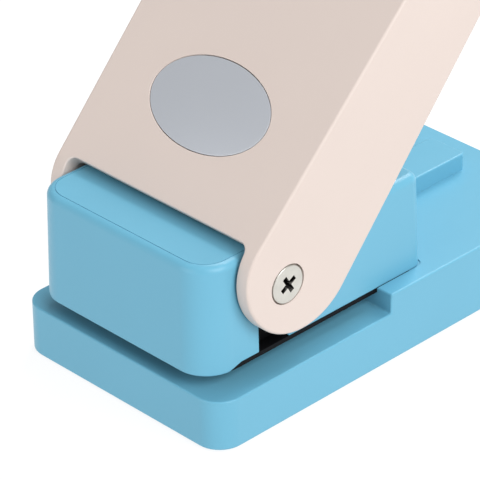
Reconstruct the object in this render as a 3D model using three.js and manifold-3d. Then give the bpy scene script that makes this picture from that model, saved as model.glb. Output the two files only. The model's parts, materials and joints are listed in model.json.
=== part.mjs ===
// A compact desktop single-hole punch.
//
// Millimetres, +Z up. X runs across the punch, -Y is the front where the paper goes in.
// The origin is the middle of the base's footprint, on the surface that the feet stand on.
// The handle is modelled along its own +Y with the pivot at its origin, and then turned up.

import * as THREE from 'three';
import { mergeVertices } from 'three/addons/utils/BufferGeometryUtils.js';
import Module from 'manifold-3d';

// ---------------------------------------------------------------- driving dimensions

const BASE_WIDTH = 46;
const BASE_LENGTH = 84.3;
const BASE_CORNER = 4.5;
const BASE_WALL = 2.2;
const FOOT_DROP = 0.5;
const THROAT_FLOOR = FOOT_DROP + 8.9;
const DECK_TOP = FOOT_DROP + 12.5;
const DECK_SKIN = 2;
const FRONT = -BASE_LENGTH / 2;
const REAR = BASE_LENGTH / 2;
const PAPER_STOP = FRONT + 38.8;
const HOLE_TO_PAPER_EDGE = 12;
const PUNCH_Y = PAPER_STOP - HOLE_TO_PAPER_EDGE;

const PIVOT_Y = FRONT + 15.6;
const PIVOT_Z = FOOT_DROP + 24.5;
const HANDLE_REST_ANGLE = 46.1;
const LEVER_ARM = 12;
const PRESS_PIN_RADIUS = 2.5;

const HEAD_HALF_WIDTH = 19.95;
const HEAD_BOTTOM = DECK_TOP - 0.15;
const HEAD_WALL = 1.8;
const HEAD_CORNER = 6.2;
const HEAD_DRAFT = 0.016;
const REAR_DRAFT = 0.04;
const FRONT_GAP = 3.5;
const REAR_GAP = 3;
const PIVOT_RELIEF = 5;
const FRONT_COVER_TOP = FOOT_DROP + 31;
const REAR_COVER_TOP = FOOT_DROP + 29.6;
const FRONT_COVER_START = FRONT + 0.4;
const REAR_COVER_END = FRONT + 49.8;

const FRAME_THICKNESS = 0.8;
const FRAME_TOP = HEAD_BOTTOM - 0.02;
const FRAME_BOTTOM = FRAME_TOP - FRAME_THICKNESS;
const FRAME_HALF_WIDTH = 19.8;
const FRAME_END = 5.3;
const CHEEK_X = 16.3;
const CHEEK_THICKNESS = 1.2;

const HANDLE_LENGTH = 68;
const HANDLE_HALF_WIDTH = 22.5;
const HANDLE_INNER_HALF = 20.2;
const HANDLE_FLARE = 0.0208;
const HANDLE_TOP = 10.35;
const HANDLE_PANEL = 2.7;
const HANDLE_NOSE_RADIUS = 11.45;
const HANDLE_NOSE_Y = 3.5;
const HANDLE_BROW_Y = 1.5;
const HANDLE_CUT = 1.9;
const HANDLE_TAPER = 4.74;

const DIE_HALF_WIDTH = 15;
const DIE_FRONT = PUNCH_Y - 14.7;
const DIE_END = 5.2;
const PUNCH_RADIUS = 3;
const PUNCH_CLEARANCE = 0.15;
const PUNCH_TIP = FRAME_BOTTOM + 0.5;

const TRAY_HALF_WIDTH = 14.4;
const TRAY_FRONT = FRONT + 6.2;
const TRAY_FLOOR = FOOT_DROP + 1.4;
const TRAY_TOP = FOOT_DROP + 6.4;
const TRAY_LIP = FOOT_DROP + 4.2;
const TRAY_WALL = 1.2;

const RIB_HALF_WIDTH = 3.9;
const RIB_START = REAR_COVER_END + 0.8;
const RIB_END = FRONT + 77.5;
const RIB_HEIGHT = 3.15;

const FOOT_RADIUS = 4;
const BOSS_RADIUS = 2.5;
const PLATE_TOP = FOOT_DROP + 1.2;
const DIE_TOP = THROAT_FLOOR;
const DIE_BOTTOM = DIE_TOP - 2;

const BUSH_RADIUS = 4.2;
const BUSH_NECK = 3.85;
const BUSH_TOP = FRAME_TOP + 6.9;
const CLIP_BOTTOM = 28.1;
const CLIP_TOP = 28.7;
const CAP_RADIUS = 6;
const SPRING_RADIUS = 5.15;
const SPRING_WIRE = 0.45;
const SPRING_TURNS = 6.8;

const BADGE = { y: 18.8, halfWidth: 12.5, halfLength: 7.7, depth: 0.6 };
const AXLE_RADIUS = 2.3;
const SPACER_RADIUS = 4;
const BRACKET_X = 12;
const BRACKET_END = 34;
const RIVET_RADIUS = 2.7;
const SCREW_HEAD_RADIUS = 3.2;
const SCREW_HEAD_HEIGHT = 0.9;
const SCREW_SHAFT = 1.5;
const SCREW_TURN_DEGREES = -15;
const CROSS = { halfLength: 1.55, halfWidth: 0.4, depth: 0.7 };

const BASE_SCREW = { length: 5.2, shaft: 1.1, head: 2 };
const FRAME_SCREW = { length: 8.2, shaft: 1.25, head: 2.3 };
const COVER_SCREW = { length: 6, shaft: 1, head: 1.7 };
const BRACKET_SCREW = { shaft: 1.1, head: 2.2, headHeight: 1.25 };
const NUT = { radius: 2.5, bore: 1.3, height: 2 };

const ROUND = 20;
const FINE = 12;
const GAP = 0.05;
const TOUCH = 0.02;
const DEGREE = Math.PI / 180;

// ---------------------------------------------------------------- finishes

function finish(color, roughness, metalness) {
  return new THREE.MeshStandardMaterial({ color, roughness, metalness });
}

const BLUE_PLASTIC = finish(0x8ac6e2, 0.38, 0);
const CREAM_PLASTIC = finish(0xefe3da, 0.42, 0);
const SILVER = finish(0xb4bac4, 0.35, 0.8);
const BLACK_STEEL = finish(0x1b1c1e, 0.45, 0.6);
const BRIGHT_STEEL = finish(0xc9ccd0, 0.25, 1);
const NICKEL = finish(0xc8c8c0, 0.3, 1);
const BRASS = finish(0xb9975a, 0.35, 1);
const BLACK_RUBBER = finish(0x202020, 0.9, 0);
const GREY_PLASTIC = finish(0x8f9296, 0.5, 0);

// ---------------------------------------------------------------- solid modelling

const wasm = await Module();
wasm.setup();

function toSolid(geometry) {
  const bare = geometry.index ? geometry.clone() : geometry;
  bare.deleteAttribute('normal');
  bare.deleteAttribute('uv');
  const merged = mergeVertices(bare, 1e-4);
  const vertProperties = new Float32Array(merged.attributes.position.array);
  const triVerts = new Uint32Array(merged.index.array);
  return new wasm.Manifold(new wasm.Mesh({ numProp: 3, vertProperties, triVerts }));
}

function toGeometry(solid) {
  const mesh = solid.getMesh();
  const geometry = new THREE.BufferGeometry();
  geometry.setAttribute('position', new THREE.BufferAttribute(mesh.vertProperties, 3));
  geometry.setIndex(new THREE.BufferAttribute(mesh.triVerts, 1));
  geometry.computeVertexNormals();
  return geometry;
}

function box(x0, x1, y0, y1, z0, z1) {
  const geometry = new THREE.BoxGeometry(x1 - x0, y1 - y0, z1 - z0);
  return toSolid(geometry.translate((x0 + x1) / 2, (y0 + y1) / 2, (z0 + z1) / 2));
}

// A cylinder or cone along Z, standing on z0.
function post(x, y, z0, z1, radius, topRadius = radius, sides = ROUND) {
  const geometry = new THREE.CylinderGeometry(topRadius, radius, z1 - z0, sides);
  geometry.rotateX(Math.PI / 2);
  return toSolid(geometry.translate(x, y, (z0 + z1) / 2));
}

// A cylinder along X.
function rod(x0, x1, y, z, radius, sides = ROUND) {
  const geometry = new THREE.CylinderGeometry(radius, radius, x1 - x0, sides);
  geometry.rotateZ(Math.PI / 2);
  return toSolid(geometry.translate((x0 + x1) / 2, y, z));
}

// A plan outline in X and Y, raised from z0 to z1.
function raise(shape, z0, z1, curveSegments = 6) {
  const options = { depth: z1 - z0, bevelEnabled: false, curveSegments };
  return toSolid(new THREE.ExtrudeGeometry(shape, options).translate(0, 0, z0));
}

// A side profile in Y and Z, drawn as the shape's x and y, swept from x0 to x1.
function sweepAcross(shape, x0, x1, curveSegments = 10) {
  const options = { depth: x1 - x0, bevelEnabled: false, curveSegments };
  const geometry = new THREE.ExtrudeGeometry(shape, options);
  geometry.rotateX(Math.PI / 2);
  geometry.rotateZ(Math.PI / 2);
  return toSolid(geometry.translate(x0, 0, 0));
}

// A ring-like section in radius and height, turned about a vertical axis.
function turn(points, x, y, sides = ROUND) {
  const outline = points.map(([radius, height]) => new THREE.Vector2(radius, height));
  const geometry = new THREE.LatheGeometry([...outline, outline[0]], sides);
  geometry.rotateX(Math.PI / 2);
  return toSolid(geometry.translate(x, y, 0));
}

function both(makeSide) {
  return makeSide(1).add(makeSide(-1));
}

function spread(x0, x1, side) {
  return side > 0 ? [x0, x1] : [-x1, -x0];
}

// A rounded rectangle with one radius for its front corners and one for its rear corners.
function roundedPlan(halfWidth, y0, y1, frontRadius, rearRadius = frontRadius) {
  const shape = new THREE.Shape();
  const corners = [[1, y0, frontRadius], [1, y1, rearRadius], [-1, y1, rearRadius], [-1, y0, frontRadius]];
  shape.moveTo(0, y0);
  corners.forEach(([side, y, radius], i) => {
    const x = side * halfWidth;
    const inward = y === y0 ? radius : -radius;
    const start = (i - 1) * Math.PI / 2;
    if (radius > 0) {
      shape.absarc(x - side * radius, y + inward, radius, start, start + Math.PI / 2);
    } else {
      shape.lineTo(x, y);
    }
  });
  return shape;
}

function polygon(points) {
  return new THREE.Shape(points.map(([a, b]) => new THREE.Vector2(a, b)));
}

// The same position on both sides, front and rear.
function mirrored(x, ys) {
  return ys.flatMap((y) => [[-x, y], [x, y]]);
}

const punch = new THREE.Group();
const handle = new THREE.Group();
handle.position.set(0, PIVOT_Y, PIVOT_Z);
handle.rotation.x = HANDLE_REST_ANGLE * DEGREE;
punch.add(handle);

function addPart(group, name, solid, material) {
  const mesh = new THREE.Mesh(toGeometry(solid), material);
  mesh.name = name;
  group.add(mesh);
}

// ---------------------------------------------------------------- fasteners

const BASE_SCREWS = mirrored(18, [-27, 27]);
const FRAME_SCREWS = [...mirrored(11.5, [-0.6]), ...mirrored(5, [1.9])];
const COVER_SCREWS = mirrored(13, [-37.4, -6.4]);
const BRACKET_SCREWS = mirrored(7, [29]);
const FEET = mirrored(15.5, [-35, 35]);

// A round hole or shaft for a small fastener, along Z.
function drill(x, y, z0, z1, radius) {
  return post(x, y, z0, z1, radius, radius, FINE);
}

function crossRecess(x, y, z0, z1, arm) {
  const half = 0.2;
  return box(x - arm, x + arm, y - half, y + half, z0, z1)
    .add(box(x - half, x + half, y - arm, y + arm, z0, z1));
}

// Flat-headed screw with its head down at z0, pointing up, and a cross recess in the head.
function countersunkScrew(x, y, z0, { length, shaft, head }) {
  const headHeight = head - shaft;
  return post(x, y, z0, z0 + headHeight, head, shaft, FINE)
    .add(drill(x, y, z0 + headHeight - 0.01, z0 + length, shaft))
    .subtract(crossRecess(x, y, z0 - 0.1, z0 + 0.5, head / 2));
}

function countersink(x, y, z0, z1, { shaft, head }) {
  return post(x, y, z0 - 0.01, z0 + head - shaft, head + GAP, shaft + GAP, FINE)
    .add(drill(x, y, z0, z1, shaft + GAP));
}

function hexNut(x, y, z0) {
  const { radius, bore, height } = NUT;
  return post(x, y, z0, z0 + height, radius, radius, 6).subtract(drill(x, y, z0 - 1, z0 + 3, bore));
}

// ---------------------------------------------------------------- base

function baseShell() {
  const halfWidth = BASE_WIDTH / 2;
  let shell = raise(roundedPlan(halfWidth, FRONT, REAR, BASE_CORNER), FOOT_DROP, DECK_TOP);
  shell = shell.subtract(box(-25, 25, FRONT - 1, PAPER_STOP, THROAT_FLOOR, DECK_TOP + 1));

  const inner = halfWidth - BASE_WALL;
  const [innerFront, innerRear] = [FRONT + BASE_WALL, REAR - BASE_WALL];
  const lowCeiling = THROAT_FLOOR - DECK_SKIN;
  shell = shell.subtract(raise(roundedPlan(inner, innerFront, innerRear, 2.4), 0, lowCeiling));
  shell = shell.subtract(box(-inner, inner, DIE_END + 3, innerRear - 2.4, 1, DECK_TOP - DECK_SKIN));

  const die = DIE_HALF_WIDTH + 0.1;
  shell = shell.subtract(box(-die, die, DIE_FRONT - 0.1, DIE_END + 0.1, 1, DIE_TOP + 0.04));
  const framePocket = roundedPlan(FRAME_HALF_WIDTH + 0.1, PAPER_STOP - 1, FRAME_END + 0.1, 0, 1.6);
  shell = shell.subtract(raise(framePocket, FRAME_BOTTOM - 0.02, DECK_TOP + 1));
  const headPocket = roundedPlan(HEAD_HALF_WIDTH + 0.1, PAPER_STOP - 1, REAR_COVER_END + 0.1, 0, 1.6);
  shell = shell.subtract(raise(headPocket, HEAD_BOTTOM - 0.02, DECK_TOP + 1));

  const rib = roundedPlan(RIB_HALF_WIDTH, RIB_START, RIB_END, 0, 0.8);
  shell = shell.add(raise(rib, DECK_TOP - 0.5, DECK_TOP + RIB_HEIGHT));

  for (const [x, y] of BASE_SCREWS) {
    shell = shell.add(post(x, y, PLATE_TOP + GAP, lowCeiling + 0.5, BOSS_RADIUS));
    if (y > 0) {
      shell = shell.add(post(x, y, PLATE_TOP + GAP, DECK_TOP - 1, BOSS_RADIUS));
    }
    shell = shell.subtract(drill(x, y, 0, FOOT_DROP + 6, BASE_SCREW.shaft + GAP));
  }
  for (const [x, y] of FRAME_SCREWS) {
    shell = shell.subtract(drill(x, y, 1, DECK_TOP + 1, FRAME_SCREW.shaft + 0.1));
  }
  const slot = TRAY_HALF_WIDTH + 0.2;
  shell = shell.subtract(box(-slot, slot, REAR - 5, REAR + 1, 0, TRAY_TOP + 0.2));
  const sill = box(-slot - 1, slot + 1, REAR - BASE_WALL, REAR, FOOT_DROP, PLATE_TOP);
  return shell.add(sill);
}

function bottomPlate() {
  const halfWidth = BASE_WIDTH / 2 - BASE_WALL - 0.2;
  const front = FRONT + BASE_WALL + 0.2;
  let plate = raise(roundedPlan(halfWidth, front, -front, 2.3), FOOT_DROP, PLATE_TOP);
  plate = plate.add(both((side) => {
    const [x0, x1] = spread(TRAY_HALF_WIDTH + 0.2, TRAY_HALF_WIDTH + 0.9, side);
    return box(x0, x1, front + 2, -front - 0.3, PLATE_TOP - 0.2, PLATE_TOP + 2.5);
  }));
  for (const [x, y] of BASE_SCREWS) {
    plate = plate.subtract(countersink(x, y, FOOT_DROP, PLATE_TOP + 1, BASE_SCREW));
  }
  for (const [x, y] of FEET) {
    plate = plate.subtract(post(x, y, 0, FOOT_DROP + 0.55, FOOT_RADIUS + 0.1));
  }
  return plate;
}

function rubberFoot(x, y) {
  return post(x, y, 0, 0.3, FOOT_RADIUS - 0.4, FOOT_RADIUS)
    .add(post(x, y, 0.29, FOOT_DROP + 0.5, FOOT_RADIUS));
}

function diePlate() {
  const plan = roundedPlan(DIE_HALF_WIDTH, DIE_FRONT, DIE_END, 1.5);
  let plate = raise(plan, DIE_BOTTOM, DIE_TOP);
  plate = plate.subtract(post(0, PUNCH_Y, 0, 20, PUNCH_RADIUS + PUNCH_CLEARANCE));
  for (const [x, y] of FRAME_SCREWS) {
    plate = plate.subtract(countersink(x, y, DIE_BOTTOM, DIE_TOP + 1, FRAME_SCREW));
  }
  return plate;
}

function chipTray() {
  const [half, wall] = [TRAY_HALF_WIDTH, TRAY_WALL];
  let tray = raise(roundedPlan(half, TRAY_FRONT, REAR, 2, 0.6), TRAY_FLOOR, TRAY_TOP);
  const hollow = roundedPlan(half - wall, TRAY_FRONT + wall, REAR - 2.2, 1.2);
  tray = tray.subtract(raise(hollow, TRAY_FLOOR + wall, TRAY_TOP + 1));
  const lowered = box(-half - 1, half + 1, TRAY_FRONT - 1, TRAY_FRONT + 2.5, TRAY_LIP, TRAY_TOP + 1);
  tray = tray.subtract(lowered);
  const nailGroove = box(-6, 6, REAR - 0.9, REAR + 1, TRAY_FLOOR + 1.4, TRAY_FLOOR + 3.4);
  return tray.subtract(nailGroove);
}

// ---------------------------------------------------------------- steel frame and punch set

// The upright cheeks carry the pivot and stand between the two covers.
function cheekProfile(hole) {
  const [foot, crown] = [FRAME_TOP - 0.5, FRAME_TOP + 4];
  const shape = new THREE.Shape();
  shape.moveTo(FRONT + 6, foot);
  shape.lineTo(2, foot);
  shape.lineTo(2, crown);
  shape.lineTo(PIVOT_Y + 9, crown + 3);
  shape.lineTo(PIVOT_Y + 4.6, PIVOT_Z);
  shape.absarc(PIVOT_Y, PIVOT_Z, 4.6, 0, Math.PI);
  shape.lineTo(PIVOT_Y - 6, crown + 2);
  shape.lineTo(FRONT + 6, crown);
  const bore = new THREE.Path();
  bore.absarc(PIVOT_Y, PIVOT_Z, hole, 0, Math.PI * 2);
  shape.holes.push(bore);
  return shape;
}

function steelFrame() {
  const plan = roundedPlan(FRAME_HALF_WIDTH, FRONT_COVER_START + 1.5, FRAME_END, HEAD_CORNER - 0.6, 1.5);
  let frame = raise(plan, FRAME_BOTTOM, FRAME_TOP);
  frame = frame.add(both((side) => {
    const [x0, x1] = spread(CHEEK_X, CHEEK_X + CHEEK_THICKNESS, side);
    return sweepAcross(cheekProfile(2.45), x0, x1);
  }));
  frame = frame.subtract(post(0, PUNCH_Y, 0, 20, BUSH_NECK + GAP));
  for (const [x, y] of FRAME_SCREWS) {
    frame = frame.subtract(drill(x, y, 0, 30, FRAME_SCREW.shaft + 0.1));
  }
  for (const [x, y] of COVER_SCREWS) {
    frame = frame.subtract(countersink(x, y, FRAME_BOTTOM, FRAME_TOP + 1, COVER_SCREW));
  }
  return frame;
}

const PRESS_PIN_Z = PIVOT_Z + LEVER_ARM * Math.sin(HANDLE_REST_ANGLE * DEGREE);
const CAP_TOP = PRESS_PIN_Z - PRESS_PIN_RADIUS - GAP;

function guideBush() {
  const inner = PUNCH_RADIUS + PUNCH_CLEARANCE;
  const section = [[inner, FRAME_BOTTOM], [BUSH_NECK, FRAME_BOTTOM], [BUSH_NECK, FRAME_TOP + TOUCH],
    [BUSH_RADIUS, FRAME_TOP + TOUCH], [BUSH_RADIUS, BUSH_TOP], [inner, BUSH_TOP]];
  return turn(section, 0, PUNCH_Y);
}

// The tip is cut to a shallow vee, so that its two corners pierce the paper first.
function punchPin() {
  const groove = PUNCH_RADIUS - 0.5;
  const grooved = [[0, PUNCH_TIP], [PUNCH_RADIUS, PUNCH_TIP], [PUNCH_RADIUS, CLIP_BOTTOM - GAP],
    [groove, CLIP_BOTTOM - GAP], [groove, CLIP_TOP + GAP], [PUNCH_RADIUS, CLIP_TOP + GAP],
    [PUNCH_RADIUS, CAP_TOP - 1.1], [0, CAP_TOP - 1.1]];
  const vee = polygon([[PUNCH_Y - 3.5, PUNCH_TIP - 1], [PUNCH_Y + 3.5, PUNCH_TIP - 1],
    [PUNCH_Y + 3.5, PUNCH_TIP - 0.2], [PUNCH_Y, PUNCH_TIP + 1], [PUNCH_Y - 3.5, PUNCH_TIP - 0.2]]);
  return turn(grooved, 0, PUNCH_Y).subtract(sweepAcross(vee, -4, 4));
}

function punchCap() {
  const bore = PUNCH_RADIUS + 0.06;
  const section = [[bore, CLIP_TOP + GAP], [CAP_RADIUS - 0.3, CLIP_TOP + GAP],
    [CAP_RADIUS, CLIP_TOP + 0.4], [CAP_RADIUS, CAP_TOP - 0.6], [CAP_RADIUS - 0.6, CAP_TOP],
    [0, CAP_TOP], [0, CAP_TOP - 1.05], [bore, CAP_TOP - 1.05]];
  return turn(section, 0, PUNCH_Y);
}

function retainingClip() {
  const [inner, outer] = [PUNCH_RADIUS - 0.45, CAP_RADIUS - 0.6];
  const ring = turn([[inner, CLIP_BOTTOM], [outer, CLIP_BOTTOM], [outer, CLIP_TOP], [inner, CLIP_TOP]],
    0, PUNCH_Y);
  return ring.subtract(box(-1.8, 1.8, PUNCH_Y, PUNCH_Y + 7, CLIP_BOTTOM - 1, CLIP_TOP + 1));
}

class Helix extends THREE.Curve {
  constructor(radius, turns, z0, z1) {
    super();
    Object.assign(this, { radius, turns, z0, z1 });
  }

  // The end turns lie flat, and the pitch eases in and out between them.
  getPoint(t, target = new THREE.Vector3()) {
    const angle = t * this.turns * Math.PI * 2;
    const free = THREE.MathUtils.clamp((t * this.turns - 0.9) / (this.turns - 1.8), 0, 1);
    const height = this.z0 + (this.z1 - this.z0) * free;
    return target.set(this.radius * Math.cos(angle), this.radius * Math.sin(angle), height);
  }
}

function returnSpring() {
  const clear = SPRING_WIRE + GAP;
  const path = new Helix(SPRING_RADIUS, SPRING_TURNS, FRAME_TOP + clear, CLIP_BOTTOM - clear);
  const section = new THREE.Shape();
  section.absarc(0, 0, SPRING_WIRE, 0, Math.PI * 2);
  const steps = Math.round(SPRING_TURNS * 16);
  const options = { extrudePath: path, steps, curveSegments: 3, bevelEnabled: false };
  return toSolid(new THREE.ExtrudeGeometry(section, options).translate(0, PUNCH_Y, 0));
}

// ---------------------------------------------------------------- head covers

// The walls leave room round the pivot for the spacers on the axle.
function pivotRelief() {
  return rod(-25, 25, PIVOT_Y, PIVOT_Z, PIVOT_RELIEF);
}

// A profile in Y and Z with its upper corners rounded, as wide as the head.
function headBlock(y0, y1, top, frontRadius, rearRadius) {
  const shape = new THREE.Shape();
  shape.moveTo(y0, HEAD_BOTTOM);
  shape.lineTo(y1, HEAD_BOTTOM);
  shape.lineTo(y1, top - rearRadius);
  shape.absarc(y1 - rearRadius, top - rearRadius, rearRadius, 0, Math.PI / 2);
  shape.lineTo(y0 + frontRadius, top);
  shape.absarc(y0 + frontRadius, top - frontRadius, frontRadius, Math.PI / 2, Math.PI);
  return sweepAcross(shape, -HEAD_HALF_WIDTH, HEAD_HALF_WIDTH, 5);
}

// The long upper edges are rounded by the same amount as the ends.
function headSection(y0, y1, top, radius) {
  const half = HEAD_HALF_WIDTH;
  const shape = new THREE.Shape();
  shape.moveTo(-half, -HEAD_BOTTOM);
  shape.lineTo(-half, -top + radius);
  shape.absarc(-half + radius, -top + radius, radius, Math.PI, Math.PI * 1.5);
  shape.lineTo(half - radius, -top);
  shape.absarc(half - radius, -top + radius, radius, -Math.PI / 2, 0);
  shape.lineTo(half, -HEAD_BOTTOM);
  const options = { depth: y1 - y0, bevelEnabled: false, curveSegments: 5 };
  const geometry = new THREE.ExtrudeGeometry(shape, options).rotateX(-Math.PI / 2);
  return toSolid(geometry.translate(0, y0, 0));
}

function coverBosses([x, y], top) {
  return both((side) => post(x * side, y, HEAD_BOTTOM, top - 1, BOSS_RADIUS - 0.1));
}

function screwPilots([x, y]) {
  return both((side) => drill(x * side, y, HEAD_BOTTOM - 1, HEAD_BOTTOM + 7, COVER_SCREW.shaft + GAP));
}

// The walls lean in a little towards the top, and the end wall at endY leans by endDraft.
function drafted(solid, hingeY, endY, endDraft) {
  const length = endY - hingeY;
  return solid.warp((vertex) => {
    const height = Math.max(vertex[2] - HEAD_BOTTOM, 0);
    vertex[0] *= 1 - (HEAD_DRAFT * height) / HEAD_HALF_WIDTH;
    vertex[1] -= (vertex[1] - hingeY) * (endDraft * height) / Math.abs(length);
  });
}

function frontCover() {
  const [front, rear] = [FRONT_COVER_START, PIVOT_Y - FRONT_GAP];
  let cover = headBlock(front, rear, FRONT_COVER_TOP, 2, 0.8)
    .intersect(headSection(front, rear, FRONT_COVER_TOP, 2))
    .intersect(raise(roundedPlan(HEAD_HALF_WIDTH, front, rear, HEAD_CORNER, 0), 0, 50));
  const hollow = roundedPlan(HEAD_HALF_WIDTH - HEAD_WALL, front + HEAD_WALL, rear + 1,
    HEAD_CORNER - HEAD_WALL, 0);
  cover = cover.subtract(raise(hollow, 0, FRONT_COVER_TOP - HEAD_WALL));
  cover = drafted(cover, rear, front, HEAD_DRAFT).add(coverBosses(COVER_SCREWS[1], FRONT_COVER_TOP));
  return cover.subtract(screwPilots(COVER_SCREWS[1])).subtract(pivotRelief());
}

function rearCover() {
  const [front, rear] = [PIVOT_Y + REAR_GAP, REAR_COVER_END];
  let cover = headBlock(front, rear, REAR_COVER_TOP, 0.8, 2)
    .intersect(headSection(front, rear, REAR_COVER_TOP, 2))
    .intersect(raise(roundedPlan(HEAD_HALF_WIDTH, front, rear, 0, 1.5), 0, 50));
  const hollow = roundedPlan(HEAD_HALF_WIDTH - HEAD_WALL, front - 1, rear - HEAD_WALL, 0, 0.8);
  cover = cover.subtract(raise(hollow, 0, REAR_COVER_TOP - HEAD_WALL));
  cover = drafted(cover, front, rear, REAR_DRAFT).add(coverBosses(COVER_SCREWS[3], REAR_COVER_TOP));
  const leverSlot = roundedPlan(14.4, front - 3, PUNCH_Y + 7.5, 0, 1.5);
  cover = cover.subtract(raise(leverSlot, REAR_COVER_TOP - 3, 50));
  return cover.subtract(screwPilots(COVER_SCREWS[3])).subtract(pivotRelief());
}

// ---------------------------------------------------------------- handle

// Each side leans out a little towards the free end.
function flared(solid, halfWidth) {
  const lean = HANDLE_FLARE / halfWidth;
  return solid.warp((vertex) => {
    vertex[0] *= 1 + lean * vertex[1];
  });
}

// A round nose at the pivot, fuller at its brow, a flat top and an underside that tapers away.
function handleProfile(length) {
  const [noseY, noseZ] = [HANDLE_NOSE_Y, HANDLE_TOP - HANDLE_NOSE_RADIUS];
  const radius = HANDLE_NOSE_RADIUS;
  const taper = HANDLE_TAPER * DEGREE;
  const tangent = [noseY + radius * Math.sin(taper), noseZ - radius * Math.cos(taper)];
  const end = tangent[1] + (length - tangent[0]) * Math.tan(taper);
  const shape = new THREE.Shape();
  shape.moveTo(tangent[0], tangent[1]);
  shape.lineTo(length - 2, end);
  shape.absarc(length - 2, end + 2, 2, -Math.PI / 2, 0);
  shape.absarc(length - 6, HANDLE_TOP - 6, 6, 0, Math.PI / 2);
  shape.lineTo(HANDLE_BROW_Y, HANDLE_TOP);
  shape.absellipse(HANDLE_BROW_Y, noseZ, HANDLE_BROW_Y - noseY + radius, radius, Math.PI / 2, Math.PI);
  shape.absarc(noseY, noseZ, radius, Math.PI, Math.PI * 1.5 + taper);
  return shape;
}

const PANEL_UNDERSIDE = HANDLE_TOP - HANDLE_PANEL;
const WEB_TOP = PANEL_UNDERSIDE - 1.85;
const WEB_BOTTOM = WEB_TOP - CHEEK_THICKNESS;

function ovalShape(grow) {
  const shape = new THREE.Shape();
  const [a, b] = [BADGE.halfWidth + grow, BADGE.halfLength + grow];
  shape.absellipse(0, BADGE.y, a, b, 0, Math.PI * 2);
  return shape;
}

function handleShell() {
  const outer = HANDLE_HALF_WIDTH;
  const inner = HANDLE_INNER_HALF;
  const endRound = raise(roundedPlan(outer, -20, HANDLE_LENGTH, 0, 8), -30, 30, 8);
  let shell = sweepAcross(handleProfile(HANDLE_LENGTH), -outer, outer).intersect(endRound);
  const wall = outer - inner;
  const hollow = raise(roundedPlan(inner, HANDLE_CUT - 30, HANDLE_LENGTH - wall, 0, 8 - wall),
    -30, PANEL_UNDERSIDE, 8);
  shell = flared(shell, outer).subtract(flared(hollow, outer));
  const mouth = roundedPlan(inner, -30, HANDLE_CUT, 0, 1.6);
  shell = shell.subtract(raise(mouth, -30, 30, 4));
  for (const [x, y] of BRACKET_SCREWS) {
    shell = shell.add(post(x, y, WEB_TOP + 0.02, PANEL_UNDERSIDE + 0.3, 2.6));
    shell = shell.subtract(drill(x, y, 0, PANEL_UNDERSIDE + 1.2, BRACKET_SCREW.shaft + GAP));
  }
  shell = shell.subtract(raise(ovalShape(0.12), HANDLE_TOP - BADGE.depth - 0.05, 30, 24));
  for (const side of [-1, 1]) {
    const [seat0, seat1] = spread(outer - SCREW_HEAD_HEIGHT - GAP, outer + 3, side);
    shell = shell.subtract(rod(seat0, seat1, 0, 0, SCREW_HEAD_RADIUS + 0.18, 32));
  }
  return shell.subtract(rod(-30, 30, 0, 0, SCREW_SHAFT + 0.1, FINE));
}

const AXLE_HALF = HANDLE_INNER_HALF - GAP;

function ovalBadge() {
  return raise(ovalShape(0), HANDLE_TOP - BADGE.depth, HANDLE_TOP - TOUCH, 24);
}

function bracketProfile() {
  const shape = new THREE.Shape();
  shape.absarc(0, 0, 4.2, Math.PI * 0.7, Math.PI * 1.5);
  shape.lineTo(LEVER_ARM, -3.8);
  shape.absarc(LEVER_ARM, 0, 3.8, -Math.PI / 2, 0);
  shape.lineTo(18.5, 3.2);
  shape.lineTo(BRACKET_END, WEB_BOTTOM + 0.1);
  shape.lineTo(BRACKET_END, WEB_TOP);
  shape.lineTo(5, WEB_TOP);
  return shape;
}

function leverBracket() {
  let bracket = both((side) => {
    const [x0, x1] = spread(BRACKET_X, BRACKET_X + CHEEK_THICKNESS, side);
    return sweepAcross(bracketProfile(), x0, x1, 8);
  });
  bracket = bracket.add(raise(roundedPlan(BRACKET_X + 0.2, 5, BRACKET_END, 0), WEB_BOTTOM, WEB_TOP));
  bracket = bracket.subtract(rod(-20, 20, 0, 0, AXLE_RADIUS + GAP));
  bracket = bracket.subtract(rod(-20, 20, LEVER_ARM, 0, PRESS_PIN_RADIUS - 0.4 + GAP));
  for (const [x, y] of BRACKET_SCREWS) {
    bracket = bracket.subtract(drill(x, y, 0, 10, BRACKET_SCREW.shaft + 0.2));
  }
  return bracket;
}

// The ends are turned down to pass through the bracket and are riveted over outside it.
function pressPin() {
  const neck = PRESS_PIN_RADIUS - 0.4;
  const shoulder = BRACKET_X - 0.1;
  const outside = BRACKET_X + CHEEK_THICKNESS + GAP;
  const pin = rod(-shoulder, shoulder, LEVER_ARM, 0, PRESS_PIN_RADIUS)
    .add(rod(-outside - 0.7, outside + 0.7, LEVER_ARM, 0, neck));
  return pin.add(both((side) => {
    const [x0, x1] = spread(outside, outside + 0.8, side);
    return rod(x0, x1, LEVER_ARM, 0, RIVET_RADIUS);
  }));
}

function bracketScrew(x, y) {
  const { shaft, head, headHeight } = BRACKET_SCREW;
  const seat = WEB_BOTTOM - GAP;
  return post(x, y, seat - headHeight, seat, head - 0.3, head)
    .add(drill(x, y, seat - GAP, PANEL_UNDERSIDE + 1, shaft))
    .subtract(crossRecess(x, y, seat - 2, seat - 0.75, head / 2));
}

function pivotAxle() {
  const bore = both((side) => {
    const [x0, x1] = spread(AXLE_HALF - 8, AXLE_HALF + 1, side);
    return rod(x0, x1, 0, 0, SCREW_SHAFT + GAP, FINE);
  });
  return rod(-AXLE_HALF, AXLE_HALF, 0, 0, AXLE_RADIUS).subtract(bore);
}

function pivotSpacer(side) {
  const [x0, x1] = spread(CHEEK_X + CHEEK_THICKNESS + 0.1, HANDLE_INNER_HALF - 0.1, side);
  return rod(x0, x1, 0, 0, SPACER_RADIUS).subtract(rod(x0 - 1, x1 + 1, 0, 0, AXLE_RADIUS + GAP));
}

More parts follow.
